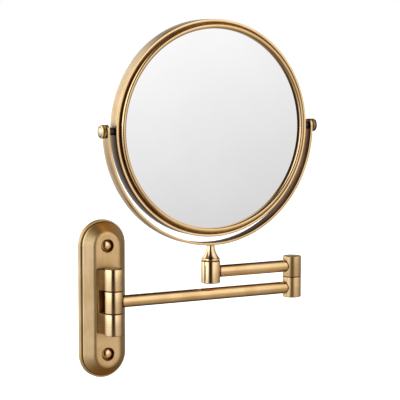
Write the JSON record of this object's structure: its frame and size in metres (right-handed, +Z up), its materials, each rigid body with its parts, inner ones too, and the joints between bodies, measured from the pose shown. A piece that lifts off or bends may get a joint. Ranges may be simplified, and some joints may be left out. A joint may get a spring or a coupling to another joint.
{
  "type": "extendable shaving mirror",
  "caption": "Wall-mounted round shaving mirror, flat on one face and magnifying on the other, in a tilting yoke on a folding brass swing arm.",
  "frame": {"origin": "middle of the wall plate's back face, on the wall", "axes": "+Y points into the wall, +X runs along the wall to the right as seen from the room, +Z is up"},
  "size_m": [0.2532, 0.0388, 0.3483],
  "materials": {
    "brushed_brass": "satin, brushed and darkened",
    "polished_brass": "polished, lightly darkened",
    "zinc_steel": "zinc plated",
    "black_nylon": "moulded",
    "mirror_glass": "silvered glass",
    "foam_tape": "closed-cell foam"
  },
  "bodies": {
    "wall_mount": {"wall_plate": "brushed_brass", "screw_caps": "polished_brass", "hinge_bracket": "brushed_brass", "bracket_screws": "zinc_steel", "hinge_pin": "zinc_steel", "hinge_pin_plug": "brushed_brass", "hinge_washers": "black_nylon"},
    "lower_arm": {"hinge_knuckle": "brushed_brass", "lower_arm_tube": "brushed_brass", "lower_arm_spigots": "zinc_steel", "elbow_lower_knuckle": "brushed_brass", "elbow_cover": "brushed_brass"},
    "upper_arm": {"elbow_upper_knuckle": "brushed_brass", "elbow_pin": "zinc_steel", "elbow_washer": "black_nylon", "elbow_spring_washer": "zinc_steel", "elbow_nut": "zinc_steel", "upper_arm_tube": "brushed_brass", "upper_arm_spigots": "zinc_steel", "post_socket": "polished_brass", "post_cover": "brushed_brass"},
    "yoke": {"swivel_neck": "polished_brass", "neck_washer": "black_nylon", "swivel_spring_washer": "zinc_steel", "swivel_nut": "zinc_steel", "yoke_band": "brushed_brass", "yoke_screw": "zinc_steel"},
    "mirror": {"mirror_ring": "brushed_brass", "front_bezel": "polished_brass", "rear_bezel": "polished_brass", "plain_glass": "mirror_glass", "magnifying_glass": "mirror_glass", "glass_spacer": "foam_tape", "pivot_nuts": "zinc_steel", "pivot_knob_left": "polished_brass", "pivot_knob_right": "polished_brass", "pivot_spacers": "black_nylon"}
  },
  "joints": [
    {"name": "wall_swing", "type": "hinge", "parent": "wall_mount", "child": "lower_arm", "pos_m": [0, -0.0275, 0], "axis": [0, 0, -1], "range_deg": [0, 180]},
    {"name": "elbow", "type": "hinge", "parent": "lower_arm", "child": "upper_arm", "pos_m": [0.202, -0.0275, 0.011], "axis": [0, 0, 1], "continuous": true},
    {"name": "mirror_swivel", "type": "hinge", "parent": "upper_arm", "child": "yoke", "pos_m": [0.107, -0.0275, 0.033], "axis": [0, 0, 1], "continuous": true},
    {"name": "mirror_flip", "type": "hinge", "parent": "yoke", "child": "mirror", "pos_m": [0.107, -0.0275, 0.1643], "axis": [1, 0, 0], "continuous": true}
  ]
}
